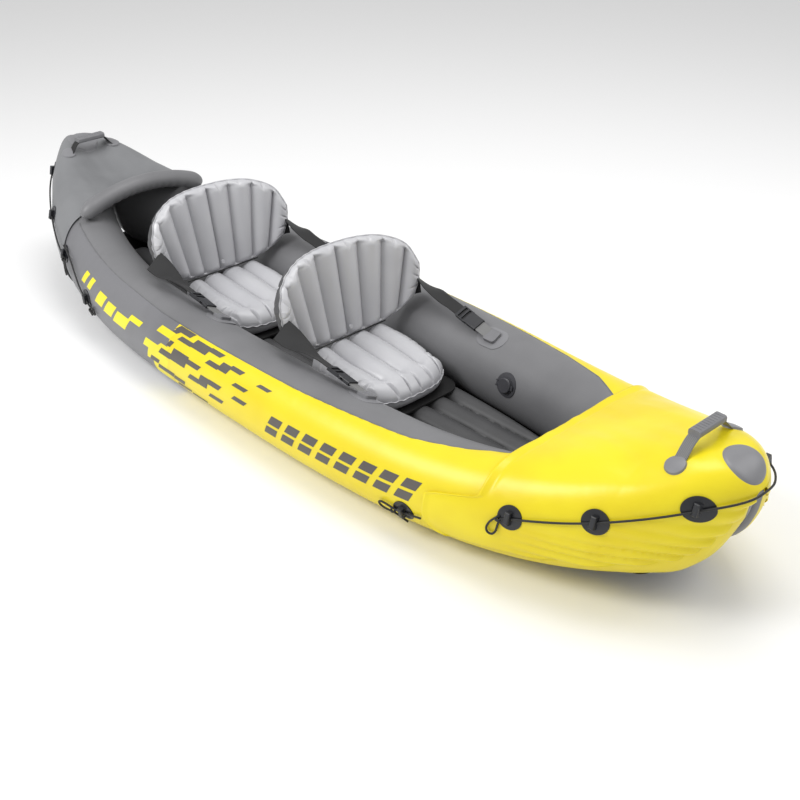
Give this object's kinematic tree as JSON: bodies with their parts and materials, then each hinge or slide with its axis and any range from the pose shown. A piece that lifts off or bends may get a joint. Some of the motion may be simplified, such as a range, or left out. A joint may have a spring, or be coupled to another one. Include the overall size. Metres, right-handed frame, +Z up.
{
  "type": "inflatable kayak",
  "caption": "Open-topped inflatable kayak with twin side chambers, air floor, bow and stern decks, folding strapped seats, grab lines and carry handles.",
  "frame": {"origin": "on the ground under the middle of the flat bottom", "axes": "+X towards the bow, +Y to port, +Z up"},
  "size_m": [3.13, 0.9114, 0.5164],
  "materials": {
    "hull_grey": "satin vinyl-coated film",
    "deck_yellow": "satin vinyl-coated film",
    "floor_grey": "matt vinyl film",
    "bottom_black": "tough coated fabric",
    "seat_grey": "satin vinyl film",
    "webbing_black": "woven nylon webbing",
    "rope_black": "braided cord",
    "moulded_black": "moulded nylon",
    "moulded_grey": "moulded soft PVC"
  },
  "bodies": {
    "hull": {"anchor_patches": "moulded_grey", "anchor_tabs": "moulded_black", "anchor_webbings": "webbing_black", "bottom_skin": "bottom_black", "bow_deck": "deck_yellow", "bow_grab_line": "rope_black", "bow_handle_patches": "moulded_grey", "bow_handle_webbing": "webbing_black", "bow_nose_patch": "moulded_grey", "bow_rope_bridges": "moulded_black", "bow_rope_holders": "moulded_black", "bow_wear_patch": "bottom_black", "buckle_sockets": "moulded_black", "cushion_bases": "bottom_black", "floor_chamber": "floor_grey", "front_cushion": "seat_grey", "rear_cushion": "seat_grey", "rope_knots": "rope_black", "seat_piping": "seat_grey", "seat_strap_front_port": "webbing_black", "seat_strap_front_starboard": "webbing_black", "seat_strap_rear_port": "webbing_black", "seat_strap_rear_starboard": "webbing_black", "side_chamber_port": "hull_grey", "side_chamber_starboard": "hull_grey", "skeg_base": "moulded_black", "stern_coaming_tube": "hull_grey", "stern_deck": "hull_grey", "stern_grab_line": "rope_black", "stern_handle_patches": "moulded_grey", "stern_handle_webbing": "webbing_black", "stern_nose_patch": "moulded_grey", "stern_rope_bridges": "moulded_black", "stern_rope_holders": "moulded_black", "tie_cord_bow_port": "rope_black", "tie_cord_bow_starboard": "rope_black", "tie_cord_stern_port": "rope_black", "tie_cord_stern_starboard": "rope_black", "valve_body_floor": "moulded_grey", "valve_body_port": "moulded_grey", "valve_body_starboard": "moulded_grey", "valve_flanges": "moulded_grey"},
    "backrest_front": {"front_backrest": "seat_grey", "front_sling": "webbing_black", "front_backrest_valve": "seat_grey"},
    "buckle_plug_front_starboard": {"buckle_plug_front_starboard": "moulded_black"},
    "buckle_plug_front_port": {"buckle_plug_front_port": "moulded_black"},
    "backrest_rear": {"rear_backrest": "seat_grey", "rear_sling": "webbing_black", "rear_backrest_valve": "seat_grey"},
    "buckle_plug_rear_starboard": {"buckle_plug_rear_starboard": "moulded_black"},
    "buckle_plug_rear_port": {"buckle_plug_rear_port": "moulded_black"},
    "bow_grip": {"bow_grip": "moulded_grey"},
    "stern_grip": {"stern_grip": "moulded_grey"},
    "valve_cap_starboard": {"valve_cap_starboard": "moulded_grey"},
    "valve_cap_port": {"valve_cap_port": "moulded_grey"},
    "valve_cap_floor": {"valve_cap_floor": "moulded_grey"}
  },
  "joints": [
    {"name": "backrest_fold_front", "type": "hinge", "parent": "hull", "child": "backrest_front", "pos_m": [0.09, 0, 0.221], "axis": [0, 1, 0], "range_deg": [0, 40], "deforming": ["seat_strap_front_starboard", "seat_strap_front_port"]},
    {"name": "backrest_fold_rear", "type": "hinge", "parent": "hull", "child": "backrest_rear", "pos_m": [-0.592, 0, 0.221], "axis": [0, 1, 0], "range_deg": [0, 40], "deforming": ["seat_strap_rear_starboard", "seat_strap_rear_port"]},
    {"name": "bow_grip_swing", "type": "hinge", "parent": "hull", "child": "bow_grip", "pos_m": [1.386, 0, 0.41078], "axis": [0, 1, 0], "range_deg": [-35, 35], "deforming": ["bow_handle_webbing"]},
    {"name": "stern_grip_swing", "type": "hinge", "parent": "hull", "child": "stern_grip", "pos_m": [-1.432, 0, 0.45953], "axis": [0, 1, 0], "range_deg": [-35, 35], "deforming": ["stern_handle_webbing"]},
    {"name": "buckle_release_front_starboard", "type": "slide", "parent": "hull", "child": "buckle_plug_front_starboard", "axis": [-0.9774, -0.0506, 0.2051], "range_m": [0, 0.034]},
    {"name": "buckle_release_front_port", "type": "slide", "parent": "hull", "child": "buckle_plug_front_port", "axis": [-0.9774, 0.0506, 0.2051], "range_m": [0, 0.034]},
    {"name": "buckle_release_rear_starboard", "type": "slide", "parent": "hull", "child": "buckle_plug_rear_starboard", "axis": [-0.9783, -0.0273, 0.2053], "range_m": [0, 0.034]},
    {"name": "buckle_release_rear_port", "type": "slide", "parent": "hull", "child": "buckle_plug_rear_port", "axis": [-0.9783, 0.0273, 0.2053], "range_m": [0, 0.034]},
    {"name": "valve_cap_starboard_open", "type": "hinge", "parent": "hull", "child": "valve_cap_starboard", "pos_m": [0.56, -0.1751, 0.17423], "axis": [0, -0.2651, 0.9642], "range_deg": [0, 140]},
    {"name": "valve_cap_port_open", "type": "hinge", "parent": "hull", "child": "valve_cap_port", "pos_m": [0.56, 0.1751, 0.17423], "axis": [0, -0.2651, -0.9642], "range_deg": [0, 140]},
    {"name": "valve_cap_floor_open", "type": "hinge", "parent": "hull", "child": "valve_cap_floor", "pos_m": [-1.01, 0, 0.0927], "axis": [0, -1, 0], "range_deg": [0, 140]}
  ]
}
